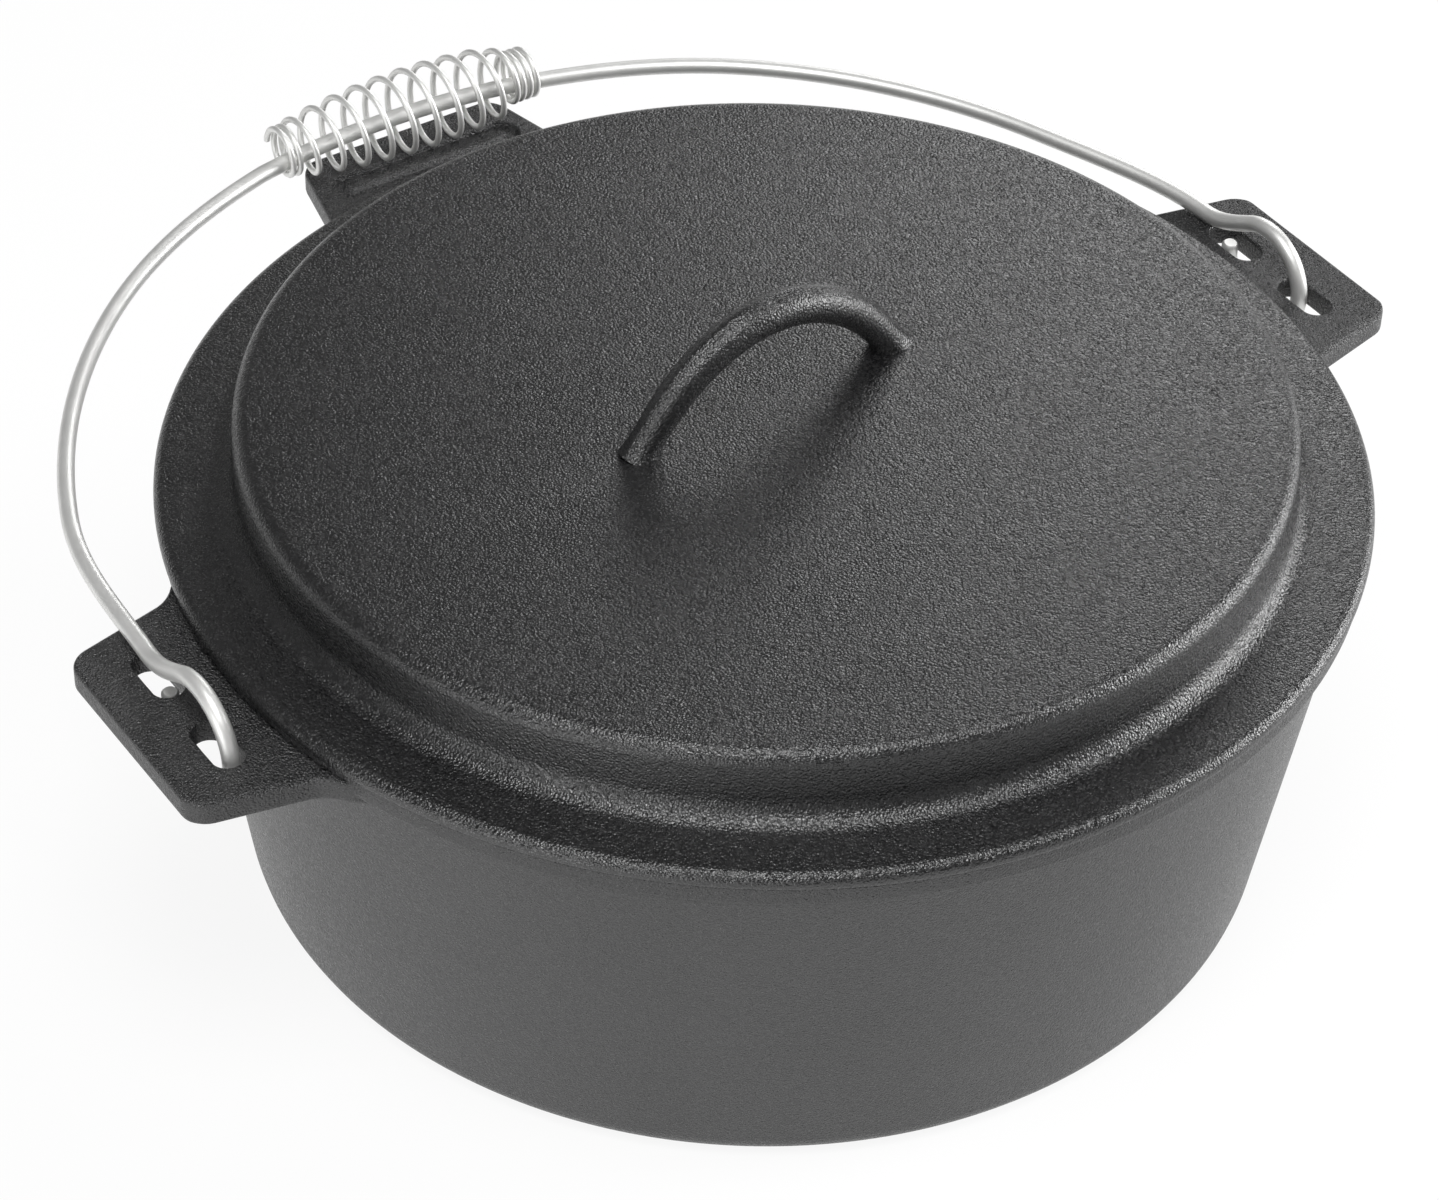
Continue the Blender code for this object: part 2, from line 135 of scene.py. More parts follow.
world = bpy.data.worlds.new("room")
bpy.context.scene.world = world
world.use_nodes = True
tree = world.node_tree
tree.nodes.clear()
ray = add_node(tree, "ShaderNodeLightPath")
strength = add_node(tree, "ShaderNodeMapRange", {"To Min": ROOM_LIGHT, "To Max": 1.0},
                    {"Value": ray.outputs["Is Camera Ray"]})
room = add_node(tree, "ShaderNodeBackground", {"Color": linear("ffffff")},
                {"Strength": strength.outputs[0]})
add_node(tree, "ShaderNodeOutputWorld", links={"Surface": room.outputs[0]})

# Pot body. A round tapered casting with a level floor and a low lip round its mouth, poured
# in grey iron against smooth sand, then baked with oil to a dull dark grey.
POT_HEIGHT = 126.0 * MM
POT_TOP = 171.8 * MM
POT_BASE = 155.4 * MM
POT_WALL = 4.6 * MM
POT_FLOOR = 5.0 * MM
POT_CORNER = 9.0 * MM
LIP_HEIGHT = 5.7 * MM
LIP_STEP = 4.5 * MM
MOUTH_ROUND = 1.0 * MM
LIP_TOP_ROUND = 0.7 * MM
LIP_EDGE_ROUND = 1.2 * MM
LIP_ROOT_ROUND = 2.4 * MM
ROUND_STEPS = 7
TURN_STEPS = 288
MERGE_WITHIN = 0.01 * MM


def finished(name, shape):
    """Turn a bmesh into an object in the scene."""
    mesh = bpy.data.meshes.new(name)
    shape.to_mesh(mesh)
    shape.free()
    thing = bpy.data.objects.new(name, mesh)
    bpy.context.scene.collection.objects.link(thing)
    return thing


def turned(name, corners):
    """Turn a section of (radius, height, rounding) corners about Z into a closed casting."""
    shape = bmesh.new()
    points = [shape.verts.new((r, 0.0, z)) for r, z, rounding in corners]
    for first, second in zip(points, points[1:]):
        shape.edges.new((first, second))
    for r, z, rounding in corners:
        if not rounding:
            continue
        corner = min(shape.verts, key=lambda vert: (vert.co - Vector((r, 0.0, z))).length)
        sides = [edge.other_vert(corner).co - corner.co for edge in corner.link_edges]
        offset = rounding / math.tan(sides[0].angle(sides[1]) / 2)
        bmesh.ops.bevel(shape, geom=[corner], offset=offset, offset_type="OFFSET",
                        segments=ROUND_STEPS, profile=0.5, affect="VERTICES", material=-1)
    bmesh.ops.spin(shape, geom=shape.verts[:] + shape.edges[:], cent=(0, 0, 0), axis=(0, 0, 1),
                   angle=math.tau, steps=TURN_STEPS, use_merge=True)
    bmesh.ops.remove_doubles(shape, verts=shape.verts, dist=MERGE_WITHIN)
    bmesh.ops.recalc_face_normals(shape, faces=shape.faces)
    return finished(name, shape)


lip = POT_TOP + LIP_STEP
lip_foot = POT_HEIGHT - LIP_HEIGHT
pot = turned("pot_casting", [
    (0.0, POT_FLOOR, 0.0),
    (POT_BASE - POT_WALL, POT_FLOOR, POT_CORNER - POT_WALL),
    (POT_TOP - POT_WALL, POT_HEIGHT, MOUTH_ROUND),
    (lip, POT_HEIGHT, LIP_TOP_ROUND),
    (lip, lip_foot, LIP_EDGE_ROUND),
    (POT_TOP, lip_foot - LIP_STEP, LIP_ROOT_ROUND),
    (POT_BASE, 0.0, POT_CORNER),
    (0.0, 0.0, 0.0),
])

# Lugs. Three flat plates cast on the pot's mouth in one piece with it. Each widens into the
# wall through small hollow corners. Two have a pair of slots for the bail. The bail rests on
# the rear one, which has a shallow groove with a raised bead in it.
LUG_TOP = 123.6 * MM
LUG_BOTTOM = 116.1 * MM
LUG_REACH = 210.0 * MM
LUG_HALF = 36.0 * MM
LUG_FLARE = 0.22
LUG_CORNER = 6.5 * MM
LUG_EDGE = 1.2 * MM
LUG_EDGE_STEPS = 4
LUG_LONG_CUTS = 31
LUG_CORNER_ANGLES = (0, 14, 27, 39, 49)
LUG_EDGE_ANGLES = (0, 20, 40, 60, 75, 90)
LUG_ROOT = 169.0 * MM
WALL_AT_LUG = 170.7 * MM
WALL_SLOPE = (POT_TOP - POT_BASE) / POT_HEIGHT
ROOT_DROP = 4.0 * MM
ROOT_START = 0.6 * MM
ROOT_WIDEN = 7.0 * MM
ROOT_STEPS = 8
STRAIGHT_FROM = 200.0 * MM
STRAIGHT_STEPS = 6
SLOT_CENTRE = 191.2 * MM
SLOT_WIDTH = 9.4 * MM
SLOT_LENGTH = 20.2 * MM
BRIDGE = 13.6 * MM
SLOT_EDGE = 0.9 * MM
SLOT_SIDES = 40
GROOVE_CENTRE = 191.5 * MM
GROOVE_LENGTH = 68.0 * MM
GROOVE_WIDTH = 12.0 * MM
GROOVE_DEPTH = 1.6 * MM
GROOVE_EDGE = 0.8 * MM
GROOVE_DRAFT = 0.4 * MM
BEAD_LENGTH = 60.0 * MM
BEAD_WIDTH = 4.6 * MM
BEAD_DROP = 0.3 * MM
CUT_MARGIN = 4.0 * MM


def smooth_step(value):
    """0 below 0, 1 above 1 and a smooth rise between."""
    value = min(1.0, max(0.0, value))
    return value * value * (3 - 2 * value)


def hollow(distance, radius):
    """How far a hollow corner of a radius stands out at a distance from the wall it leaves."""
    inward = min(radius, max(0.0, radius - distance))
    return radius - math.sqrt(radius * radius - inward * inward)


def loft(shape, face, stations, place):
    """Draw a face along stations; place puts each corner from its first spot and the station."""
    first = shape.verts.layers.float_vector.new("first")
    for corner in face.verts:
        corner[first] = corner.co
    for index, station in enumerate(stations):
        if index:
            grown = bmesh.ops.extrude_face_region(shape, geom=[face, *face.edges])["geom"]
            face = next(part for part in grown if isinstance(part, bmesh.types.BMFace))
        for corner in face.verts:
            corner.co = place(corner[first], station)
    bmesh.ops.recalc_face_normals(shape, faces=shape.faces)


def lug_point(corner, x):
    """A corner of the lug's cross-section, set out at x and bent to follow the pot's wall."""
    past = max(0.0, x - (LUG_REACH - LUG_CORNER))
    inset = LUG_CORNER - math.sqrt(max(0.0, LUG_CORNER ** 2 - past ** 2))
    past = max(0.0, x - (LUG_REACH - LUG_EDGE))
    thin = LUG_EDGE - math.sqrt(max(0.0, LUG_EDGE ** 2 - past ** 2))
    top = LUG_TOP - thin
    bottom = LUG_BOTTOM + thin - hollow(x - WALL_AT_LUG, ROOT_DROP)
    z = bottom + (top - bottom) * corner.z / (LUG_TOP - LUG_BOTTOM)
    bend = 1 - smooth_step((x - lip - ROOT_WIDEN) / (STRAIGHT_FROM - lip - ROOT_WIDEN))
    along = x
    # The width depends on how far out the corner ends up, so three rounds settle it.
    for _ in range(3):
        half = LUG_HALF + LUG_FLARE * (LUG_REACH - along) + hollow(x - lip, ROOT_WIDEN) - inset
        y = corner.y / LUG_HALF * half
        along = x - bend * (x - math.sqrt(x * x - y * y))
    return Vector((along - max(0.0, LUG_BOTTOM - z) * WALL_SLOPE, y, z))


def lug(turn):
    """One lug, made towards +X and turned about Z."""
    shape = bmesh.new()
    rise = LUG_TOP - LUG_BOTTOM
    ring = [(-LUG_HALF, 0.0), (LUG_HALF, 0.0), (LUG_HALF, rise), (-LUG_HALF, rise)]
    shape.faces.new([shape.verts.new((0.0, y, z)) for y, z in ring])
    bmesh.ops.bevel(shape, geom=shape.verts[:], offset=LUG_EDGE, offset_type="OFFSET",
                    segments=LUG_EDGE_STEPS, profile=0.5, affect="VERTICES", material=-1)
    long_edges = [edge for edge in shape.edges if edge.calc_length() > LUG_HALF]
    bmesh.ops.bisect_edges(shape, edges=long_edges, cuts=LUG_LONG_CUTS)
    stations = [LUG_ROOT]
    for step in range(ROOT_STEPS):
        stations.append(WALL_AT_LUG + ROOT_DROP * (step / ROOT_STEPS) ** 1.5)
    for step in range(ROOT_STEPS):
        stations.append(lip + ROOT_START + (ROOT_WIDEN - ROOT_START) * step / (ROOT_STEPS - 1))
    widened = lip + ROOT_WIDEN
    for step in range(1, STRAIGHT_STEPS + 1):
        stations.append(widened + (STRAIGHT_FROM - widened) * step / STRAIGHT_STEPS)
    for angle in LUG_CORNER_ANGLES:
        stations.append(LUG_REACH - LUG_CORNER + LUG_CORNER * math.sin(math.radians(angle)))
    for angle in LUG_EDGE_ANGLES:
        stations.append(LUG_REACH - LUG_EDGE + LUG_EDGE * math.sin(math.radians(angle)))
    face = next(iter(shape.faces))
    loft(shape, face, stations, lug_point)
    bmesh.ops.rotate(shape, verts=shape.verts, cent=(0, 0, 0), matrix=Matrix.Rotation(turn, 3, "Z"))
    return finished("lug", shape)


def slot_form(x, y, length, width, levels, turn=0.0):
    """A round-ended form that runs along Y, with (height, growth) levels."""
    shape = bmesh.new()
    bmesh.ops.create_circle(shape, cap_ends=True, segments=SLOT_SIDES, radius=1.0)
    straight = (length - width) / 2

    def place(corner, level):
        z, growth = level
        radius = width / 2 + growth
        side = (corner.y > 0.01) - (corner.y < -0.01)
        return Vector((x + radius * corner.x, y + side * straight + radius * corner.y, z))

    loft(shape, next(iter(shape.faces)), levels, place)
    bmesh.ops.rotate(shape, verts=shape.verts, cent=(0, 0, 0), matrix=Matrix.Rotation(turn, 3, "Z"))
    return finished("form", shape)


def carve(body, others, operation):
    """Join forms to a casting, or cut them out of it, and throw the forms away."""
    for other in others:
        boolean = body.modifiers.new(other.name, "BOOLEAN")
        boolean.operation = operation
        boolean.solver = "EXACT"
        boolean.object = other
    settled = body.evaluated_get(bpy.context.evaluated_depsgraph_get())
    mesh = bpy.data.meshes.new_from_object(settled)
    body.modifiers.clear()
    body.data = mesh
    for other in others:
        bpy.data.objects.remove(other, do_unlink=True)


def round_mouth(edge, start, steps=5):
    """Levels of a hole's rounded mouth, from where it starts, for an edge radius."""
    angles = [math.pi / 2 * step / steps for step in range(steps + 1)]
    return [(start - edge * (1 - math.cos(angle)), edge * (1 - math.sin(angle))) for angle in angles]


carve(pot, [lug(turn) for turn in (0.0, math.pi / 2, math.pi)], "UNION")

mouth = round_mouth(SLOT_EDGE, LUG_TOP)
under = [(LUG_TOP + LUG_BOTTOM - z, growth) for z, growth in reversed(mouth)]
through = [(LUG_TOP + CUT_MARGIN, SLOT_EDGE)] + mouth + under + [(LUG_BOTTOM - CUT_MARGIN, SLOT_EDGE)]
offset = (BRIDGE + SLOT_LENGTH) / 2
slots = [slot_form(x, y, SLOT_LENGTH, SLOT_WIDTH, through)
         for x in (-SLOT_CENTRE, SLOT_CENTRE) for y in (-offset, offset)]
groove = [(LUG_TOP + CUT_MARGIN, GROOVE_EDGE)] + round_mouth(GROOVE_EDGE, LUG_TOP)
groove.append((LUG_TOP - GROOVE_DEPTH, -GROOVE_DRAFT))
slots.append(slot_form(GROOVE_CENTRE, 0.0, GROOVE_LENGTH, GROOVE_WIDTH, groove, math.pi / 2))
carve(pot, slots, "DIFFERENCE")

# The bead in the groove starts inside the plate and narrows upwards to a rounded back.
bead_top = LUG_TOP - BEAD_DROP
bead = [
    (LUG_TOP - CUT_MARGIN, 1.0 * MM),
    (LUG_TOP - GROOVE_DEPTH, 0.6 * MM),
    (bead_top - 0.8 * MM, 0.0),
    (bead_top - 0.2 * MM, -0.5 * MM),
    (bead_top, -1.2 * MM),
]
carve(pot, [slot_form(GROOVE_CENTRE, 0.0, BEAD_LENGTH, BEAD_WIDTH, bead, math.pi / 2)], "UNION")

# Seasoned iron. The white table shows in the film of baked oil, which is why iron that is nearly
# black looks grey, and broad patches of the bake differ in tone. The IOR of baked oil is near
# 1.5, and 1.75 matches the sheen that the photograph shows.
IRON_IOR = 1.75
PATCH_SIZE = 38.0 * MM
PATCH_TONE = 0.12
NOISE_LOW = 0.3
NOISE_HIGH = 0.7
GRAIN_POLISH = 0.1
GRAIN_DULL = 0.2
SMOOTH_ANGLE = 35


def shade(thing, degrees):
    """Shade round faces smooth and keep edges sharper than an angle."""
    thing.data.shade_smooth()
    thing.data.set_sharp_from_angle(angle=math.radians(degrees))


def seasoned_iron(name, dark, light, grain, depth, rough):
    """Seasoned cast iron: oil baked on sand-cast skin, dull, with grain that catches the light.

    Real sand leaves grains of 0.3 to 0.5 mm, too fine to show here, so they are drawn coarser.
    """
    iron = bpy.data.materials.new(name)
    iron.use_nodes = True
    tree = iron.node_tree
    shader = tree.nodes["Principled BSDF"]
    shader.inputs["IOR"].default_value = IRON_IOR
    place = add_node(tree, "ShaderNodeTexCoord").outputs["Object"]
    patches = add_node(tree, "ShaderNodeTexNoise",
                       {"Scale": 1 / PATCH_SIZE, "Detail": 3.0, "Roughness": 0.6}, {"Vector": place})
    grains = add_node(tree, "ShaderNodeTexNoise", {"Scale": 1 / grain, "Detail": 2.0, "Roughness": 0.7},
                      {"Vector": place})
    pebbles = add_node(tree, "ShaderNodeTexVoronoi", {"Scale": 1 / grain}, {"Vector": place}, feature="F1")
    height = add_node(tree, "ShaderNodeMath", {1: -1.0},
                      {0: pebbles.outputs["Distance"], 2: grains.outputs["Fac"]},
                      operation="MULTIPLY_ADD")
    bump = add_node(tree, "ShaderNodeBump", {"Strength": 1.0, "Distance": depth},
                    {"Height": height.outputs[0]})
    tone = add_node(tree, "ShaderNodeMapRange",
                    {"From Min": NOISE_LOW, "From Max": NOISE_HIGH,
                     "To Min": -PATCH_TONE, "To Max": PATCH_TONE},
                    {"Value": patches.outputs["Fac"]})
    both = add_node(tree, "ShaderNodeMath", links={0: tone.outputs[0], 1: pebbles.outputs["Color"]},
                    operation="ADD")
    colour = add_node(tree, "ShaderNodeMix", {"A": linear(dark), "B": linear(light)},
                      {"Factor": both.outputs[0]}, data_type="RGBA")
    gloss = add_node(tree, "ShaderNodeMapRange",
                     {"To Min": rough - GRAIN_POLISH, "To Max": rough + GRAIN_DULL},
                     {"Value": pebbles.outputs["Color"]})
    tree.links.new(colour.outputs["Result"], shader.inputs["Base Color"])
    tree.links.new(gloss.outputs[0], shader.inputs["Roughness"])
    tree.links.new(bump.outputs[0], shader.inputs["Normal"])
    return iron


shade(pot, SMOOTH_ANGLE)
pot.data.materials.clear()
pot.data.materials.append(seasoned_iron("seasoned_pot_iron", dark="020203", light="29292a",
                                        grain=0.65 * MM, depth=0.36 * MM, rough=0.3))
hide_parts("pot")
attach(pot, "pot")

# Lid. A thick disc cast in iron with a raised flat middle, a flat flange that lies on the pot's
# rim and a ring underneath that keeps it in place. Its skin is darker and glossier than the
# pot's, with slightly larger grains.
LID_SEAT = 126.3 * MM
FLANGE_TOP = 131.0 * MM
LID_TOP = 152.7 * MM
LID_RADIUS = 177.5 * MM
LID_CREST = 153.9 * MM
LID_FOOT = 154.5 * MM
LID_WALL = 5.0 * MM
RING_OUTER = 165.7 * MM
RING_WIDTH = 5.0 * MM
RING_DEPTH = 3.0 * MM
CREST_ROUND = 5.0 * MM
FOOT_ROUND = 7.0 * MM
EDGE_ROUND = 3.3 * MM
EDGE_UNDER_ROUND = 1.0 * MM
RING_ROUND = 1.0 * MM
RING_ROOT_ROUND = 0.6 * MM
UNDER_FOOT_ROUND = 2.0 * MM

rise = LID_TOP - FLANGE_TOP
slope = math.atan2(rise, LID_FOOT - LID_CREST)
inward = LID_WALL / math.sin(slope)
under_top = LID_TOP - LID_WALL
lid = turned("lid_casting", [
    (0.0, LID_TOP, 0.0),
    (LID_CREST, LID_TOP, CREST_ROUND),
    (LID_FOOT, FLANGE_TOP, FOOT_ROUND),
    (LID_RADIUS, FLANGE_TOP, EDGE_ROUND),
    (LID_RADIUS, LID_SEAT, EDGE_UNDER_ROUND),
    (RING_OUTER, LID_SEAT, RING_ROOT_ROUND),
    (RING_OUTER, LID_SEAT - RING_DEPTH, RING_ROUND),
    (RING_OUTER - RING_WIDTH, LID_SEAT - RING_DEPTH, RING_ROUND),
    (RING_OUTER - RING_WIDTH, LID_SEAT, RING_ROOT_ROUND),
    (LID_FOOT - inward + (FLANGE_TOP - LID_SEAT) / math.tan(slope), LID_SEAT, UNDER_FOOT_ROUND),
    (LID_CREST - inward + LID_WALL / math.tan(slope), under_top, CREST_ROUND),
    (0.0, under_top, 0.0),
])

# Lid handle. A round loop cast in one piece with the lid, thicker in the middle, with a fine
# seam along its back where the two halves of the sand mould met.
HANDLE_SPAN = 44.8 * MM
HANDLE_RISE = 29.5 * MM
HANDLE_SWEEP = math.radians(46.8)
HANDLE_FOOT = 4.6 * MM
HANDLE_MIDDLE = 5.8 * MM
HANDLE_FLARE = 1.6 * MM
HANDLE_FLARE_FROM = 0.85
HANDLE_SUNK = 1.04
HANDLE_TURN = math.radians(2.7)
HANDLE_SEAM = 0.25 * MM
HANDLE_SEAM_FROM = 0.98
HANDLE_STEPS = 80
HANDLE_SIDES = 48


def handle_point(corner, along):
    """A corner of the loop's round section, at a share along the loop from -1 to 1.

    Both ends go on a little way under the lid's top, so that they flare into it.
    """
    angle = along * HANDLE_SWEEP * HANDLE_SUNK
    span = HANDLE_SPAN / math.sin(HANDLE_SWEEP)
    lift = HANDLE_RISE / (1 - math.cos(HANDLE_SWEEP))
    height = LID_TOP + lift * (math.cos(angle) - math.cos(HANDLE_SWEEP))
    middle = Vector((span * math.sin(angle), 0.0, height))
    outward = Vector((lift * math.sin(angle), 0.0, span * math.cos(angle))).normalized()
    radius = HANDLE_FOOT + (HANDLE_MIDDLE - HANDLE_FOOT) * (1 - along * along)
    radius += HANDLE_FLARE * max(0.0, (abs(along) - HANDLE_FLARE_FROM) / (1 - HANDLE_FLARE_FROM)) ** 2
    seam = HANDLE_SEAM * max(0.0, (corner.y - HANDLE_SEAM_FROM) / (1 - HANDLE_SEAM_FROM))
    return middle + Vector((0.0, 1.0, 0.0)) * corner.x * radius + outward * corner.y * (radius + seam)


shape = bmesh.new()
bmesh.ops.create_circle(shape, cap_ends=True, segments=HANDLE_SIDES, radius=1.0)
shares = [2 * step / HANDLE_STEPS - 1 for step in range(HANDLE_STEPS + 1)]
loft(shape, next(iter(shape.faces)), shares, handle_point)
bmesh.ops.rotate(shape, verts=shape.verts, cent=(0, 0, 0), matrix=Matrix.Rotation(HANDLE_TURN, 3, "Z"))
carve(lid, [finished("handle", shape)], "UNION")
shade(lid, SMOOTH_ANGLE)
lid.data.materials.clear()
lid.data.materials.append(seasoned_iron("seasoned_lid_iron", dark="020203", light="1c1c1d",
                                        grain=0.7 * MM, depth=0.2 * MM, rough=0.18))
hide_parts("lid")
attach(lid, "lid")

# Bail. One length of round zinc-plated steel wire bent to a bow, with a round hook at each end
# that drops through a front slot and comes up through the rear one. It hangs a little askew.
WIRE = 5.2 * MM
HOOK_RADIUS = 16.5 * MM
HOOK_START = math.radians(60.0)
HOOK_END = math.radians(368.0)
RAMP_END = 29.0 * MM
GRIP_HALF = 47.0 * MM
GRIP_REACH = 200.5 * MM
GRIP_Z = 137.9 * MM
COIL_SAG = 2.3 * MM
LEG_Z = 126.5 * MM
BAIL_PLACE = Vector((0.5, -1.5, 119.85)) * MM
BAIL_SKEW = math.radians(1.3)
BOW_DRIFT = -5.5 * MM
BOW_BLEND = 60.0 * MM
BOW_PUSH = 2.7 * MM
BOW_TILT = math.radians(0.9)
BOW_RADIUS = 230.0 * MM
BOW_FADE = 70.0 * MM
BOW_ARC_STEP = math.radians(1.0)
RAMP_STEPS = 14
HOOK_STEPS = 52
MIDDLE_STEPS = 12
END_BEVEL = 0.15
END_SHARE = 0.75
WIRE_SMOOTH_ANGLE = 40
WIRE_MERGE_WITHIN = 0.02 * MM
ZINC_DARK = "dcdcda"
ZINC_LIGHT = "f2f2f0"
ZINC_METALLIC = 0.7
ZINC_SMOOTH = 0.4
ZINC_ROUGH = 0.55
ZINC_CLOUD = 9.0 * MM
ZINC_MARK_DEPTH = 0.03 * MM
BAIL_LEAN = math.atan((GRIP_Z - COIL_SAG - LEG_Z) / (GRIP_REACH - RAMP_END))


def sway(x):
    """How far the middle of the bow, tilted and gently curved, lies behind a square straight."""
    inner = max(-GRIP_HALF, min(GRIP_HALF, x))
    shift = BOW_PUSH - inner * math.tan(BOW_TILT) - inner ** 2 / (2 * BOW_RADIUS)
    return shift * (1 - smooth_step((abs(x) - GRIP_HALF) / BOW_FADE))


def bail_side():
    """One side of the bail, from the end of its grip to the cut end of its hook."""
    slope_cos = math.cos(BAIL_LEAN)
    base_z = LEG_Z - BAIL_PLACE.z - RAMP_END * math.tan(BAIL_LEAN)
    centre = GRIP_REACH / slope_cos - math.sqrt(SLOT_CENTRE ** 2 - GRIP_HALF ** 2)
    hook_y = HOOK_RADIUS * math.cos(HOOK_START)
    hook_z = HOOK_RADIUS * math.sin(HOOK_START)
    reach = RAMP_END - hook_y
    start_rise = -reach / math.tan(HOOK_START)
    end_rise = reach * math.tan(BAIL_LEAN)
    points = []
    angle = math.asin(GRIP_HALF / SLOT_CENTRE)
    while centre + SLOT_CENTRE * math.cos(angle) > RAMP_END / slope_cos:
        along = centre + SLOT_CENTRE * math.cos(angle)
        z = base_z + along * math.sin(BAIL_LEAN)
        points.append((SLOT_CENTRE * math.sin(angle), along * slope_cos, z))
        angle += BOW_ARC_STEP
    for step in range(RAMP_STEPS):
        part = 1 - step / RAMP_STEPS
        cube = part ** 3
        square = part ** 2
        z = (2 * cube - 3 * square + 1) * hook_z + (cube - 2 * square + part) * start_rise
        z += (3 * square - 2 * cube) * (LEG_Z - BAIL_PLACE.z) + (cube - square) * end_rise
        y = hook_y + reach * part
        offset = max(0.0, y / slope_cos - centre)
        points.append((math.sqrt(SLOT_CENTRE ** 2 - offset ** 2), y, z))
    for step in range(HOOK_STEPS + 1):
        angle = HOOK_START + (HOOK_END - HOOK_START) * step / HOOK_STEPS
        points.append((SLOT_CENTRE, HOOK_RADIUS * math.cos(angle), HOOK_RADIUS * math.sin(angle)))
    return points


def wire(name, points, diameter, place, resolution):
    """A round wire along points, cut square with a slight bevel at both ends."""
    curve = bpy.data.curves.new(name, "CURVE")
    curve.dimensions = "3D"
    curve.bevel_depth = diameter / 2
    curve.bevel_resolution = resolution
    curve.use_fill_caps = True
    bevel = END_BEVEL * diameter
    first, second = Vector(points[0]), Vector(points[1])
    last, before = Vector(points[-1]), Vector(points[-2])
    route = [first + (second - first).normalized() * bevel] + [Vector(point) for point in points[1:-1]]
    route += [last + (before - last).normalized() * bevel]
    route = [first] + route + [last]
    spline = curve.splines.new("POLY")
    spline.points.add(len(route) - 1)
    for point, where in zip(spline.points, route):
        point.co = (*where, 1.0)
        point.radius = 1.0
    spline.points[0].radius = END_SHARE
    spline.points[-1].radius = END_SHARE
    source = bpy.data.objects.new(name, curve)
    bpy.context.scene.collection.objects.link(source)
    mesh = bpy.data.meshes.new_from_object(source.evaluated_get(bpy.context.evaluated_depsgraph_get()))
    bpy.data.objects.remove(source, do_unlink=True)
    shape = bmesh.new()
    shape.from_mesh(mesh)
    bmesh.ops.remove_doubles(shape, verts=shape.verts, dist=WIRE_MERGE_WITHIN)
    bmesh.ops.recalc_face_normals(shape, faces=shape.faces)
    bmesh.ops.transform(shape, matrix=place, verts=shape.verts)
    thing = finished(name, shape)
    shade(thing, WIRE_SMOOTH_ANGLE)
    return thing


def plated_steel(name, grain):
    """Zinc-plated spring wire: pale, satin, a little mottled, with fine marks from drawing.

    Zinc soon carries a thin white film, so a part of the light comes back matt. Real marks are
    about 0.1 mm wide, too fine to show here, so they are drawn coarser.
    """
    steel = bpy.data.materials.new(name)
    steel.use_nodes = True
    tree = steel.node_tree
    shader = tree.nodes["Principled BSDF"]
    shader.inputs["Metallic"].default_value = ZINC_METALLIC
    place = add_node(tree, "ShaderNodeTexCoord").outputs["Object"]
    cloud = add_node(tree, "ShaderNodeTexNoise", {"Scale": 1 / ZINC_CLOUD, "Detail": 3.0},
                     {"Vector": place})
    fine = add_node(tree, "ShaderNodeTexNoise", {"Scale": 1 / grain, "Detail": 2.0, "Roughness": 0.7},
                    {"Vector": place})
    colour = add_node(tree, "ShaderNodeMix", {"A": linear(ZINC_DARK), "B": linear(ZINC_LIGHT)},
                      {"Factor": cloud.outputs["Fac"]}, data_type="RGBA")
    gloss = add_node(tree, "ShaderNodeMapRange",
                     {"From Min": NOISE_LOW, "From Max": NOISE_HIGH,
                      "To Min": ZINC_SMOOTH, "To Max": ZINC_ROUGH},
                     {"Value": fine.outputs["Fac"]})
    bump = add_node(tree, "ShaderNodeBump", {"Strength": 0.6, "Distance": ZINC_MARK_DEPTH},
                    {"Height": fine.outputs["Fac"]})
    tree.links.new(colour.outputs["Result"], shader.inputs["Base Color"])
    tree.links.new(gloss.outputs[0], shader.inputs["Roughness"])
    tree.links.new(bump.outputs[0], shader.inputs["Normal"])
    return steel


side = bail_side()
middle = [(GRIP_HALF * (step / MIDDLE_STEPS - 1), *side[0][1:]) for step in range(1, 2 * MIDDLE_STEPS)]
route = [(-x, y, z) for x, y, z in reversed(side)] + middle + side
route = [(x + BOW_DRIFT * smooth_step((y - RAMP_END) / BOW_BLEND), y + sway(x), z) for x, y, z in route]
askew = Matrix.Rotation(BAIL_SKEW, 4, "Z")
bail = wire("bail_wire", route, WIRE, Matrix.Translation(BAIL_PLACE) @ askew, resolution=6)
bail.data.materials.append(plated_steel("zinc_plated_wire", grain=0.8 * MM))
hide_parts("bail", "hook_left", "hook_right")
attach(bail, "bail")

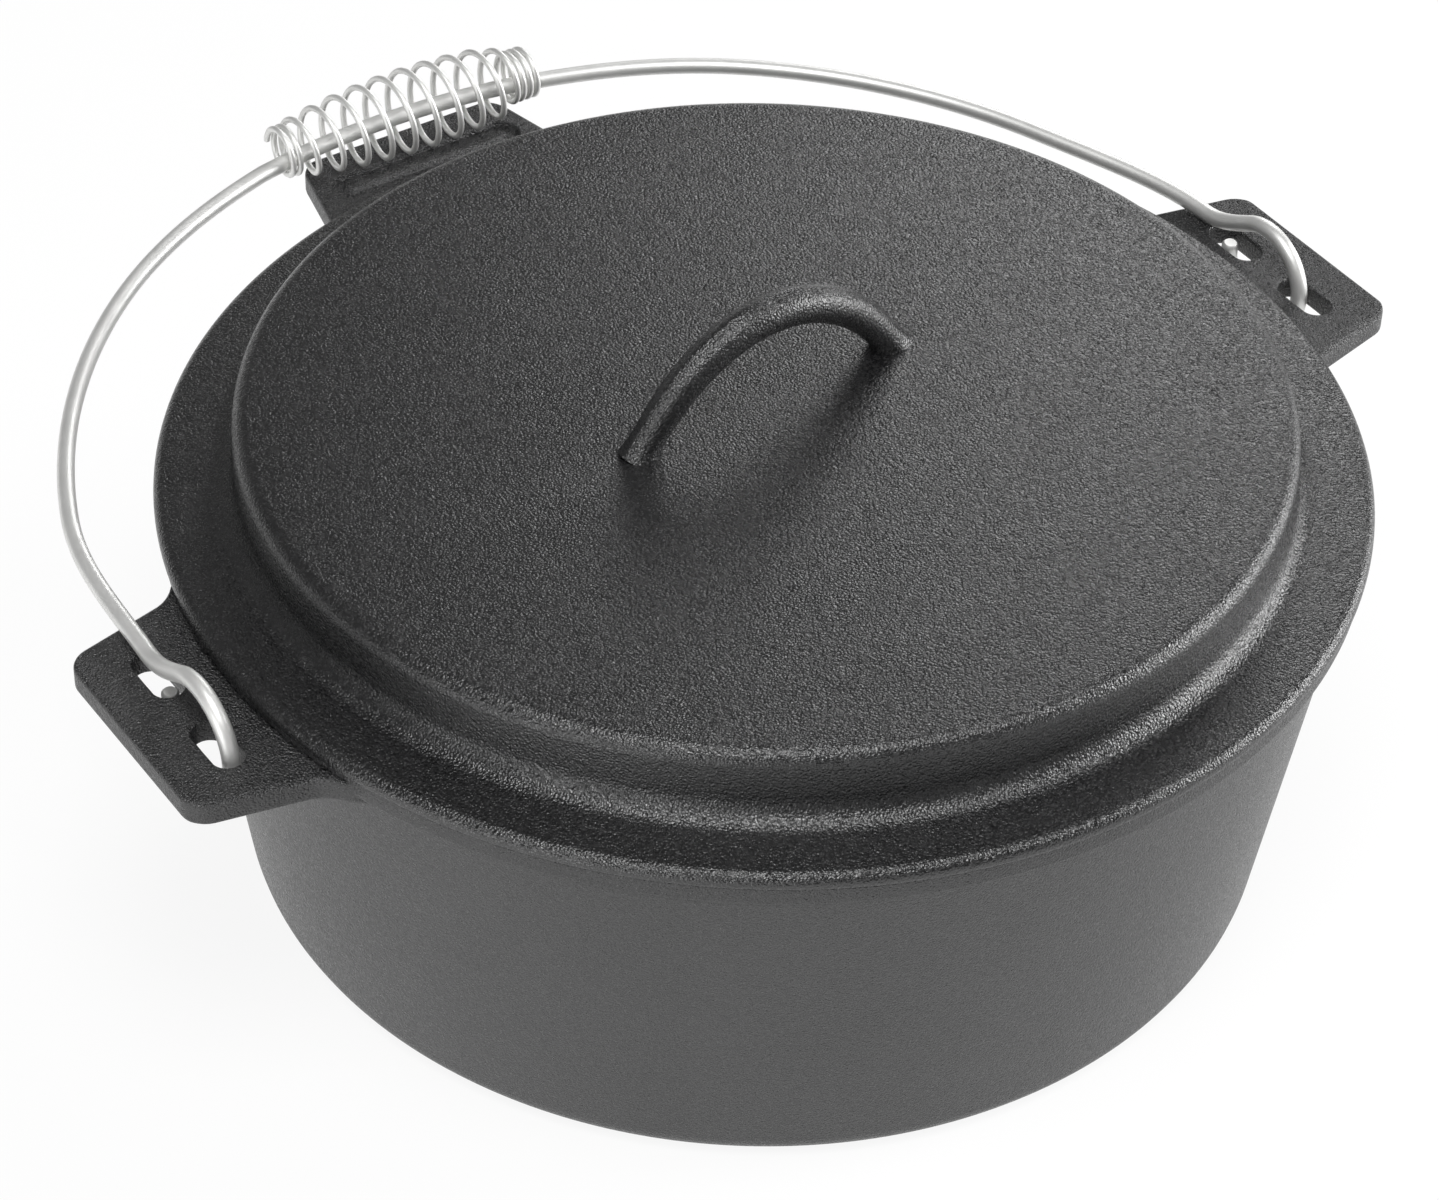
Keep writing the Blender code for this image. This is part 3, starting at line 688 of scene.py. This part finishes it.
# Grip. A thin plated wire wound into an open coil round the bail, close-wound at both ends so
# that it stays on. It turns in the hand while the bail stays still.
COIL_WIRE = 2.0 * MM
COIL_DIAMETER = 27.6 * MM
COIL_TAPER = 6.8 * MM
COIL_PEAK = 0.58
COIL_PITCH = 8.3 * MM
END_DIAMETER = 17.4 * MM
END_PITCH = 2.5 * MM
COIL_X = 6.8 * MM
COIL_LAG = 1.7 * MM
COIL_SKEW = math.radians(-2.7)
TURNS_LEFT = 1.5
TURNS_GROW = 1.0
TURNS_OPEN = 8.3
TURNS_RIGHT = 3.0
POINTS_PER_TURN = 40


def coil_route():
    """Centre line of the grip along X, middle at 0, as one unbroken wire."""
    total = TURNS_LEFT + TURNS_GROW + TURNS_OPEN + TURNS_GROW + TURNS_RIGHT
    count = round(total * POINTS_PER_TURN)
    points = []
    x = 0.0
    for step in range(count + 1):
        turn = total * step / count
        opened = turn - TURNS_LEFT - TURNS_GROW
        share = smooth_step((turn - TURNS_LEFT) / TURNS_GROW)
        share *= 1 - smooth_step((opened - TURNS_OPEN) / TURNS_GROW)
        away = opened / (TURNS_OPEN * COIL_PEAK) - 1
        widest = COIL_DIAMETER - COIL_TAPER * min(1.0, away * away)
        radius = (END_DIAMETER + (widest - END_DIAMETER) * share - COIL_WIRE) / 2
        angle = math.tau * turn
        points.append(Vector((x, radius * math.cos(angle), radius * math.sin(angle))))
        x += (END_PITCH + (COIL_PITCH - END_PITCH) * share) * total / count
    middle = Vector(((points[0].x + points[-1].x) / 2, 0.0, 0.0))
    return [point - middle for point in points]


grip_reach = GRIP_REACH + sway(COIL_X) - COIL_LAG
grip_place = BAIL_PLACE + askew @ Vector((BOW_DRIFT + COIL_X, grip_reach, GRIP_Z - BAIL_PLACE.z))
grip_turn = askew @ Matrix.Rotation(COIL_SKEW, 4, "Z")
grip_frame = Matrix.Translation(grip_place) @ grip_turn
grip = wire("grip_wire", coil_route(), COIL_WIRE, grip_frame, resolution=4)
grip.data.materials.append(plated_steel("zinc_plated_grip_wire", grain=0.5 * MM))
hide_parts("coil_grip")
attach(grip, "grip")
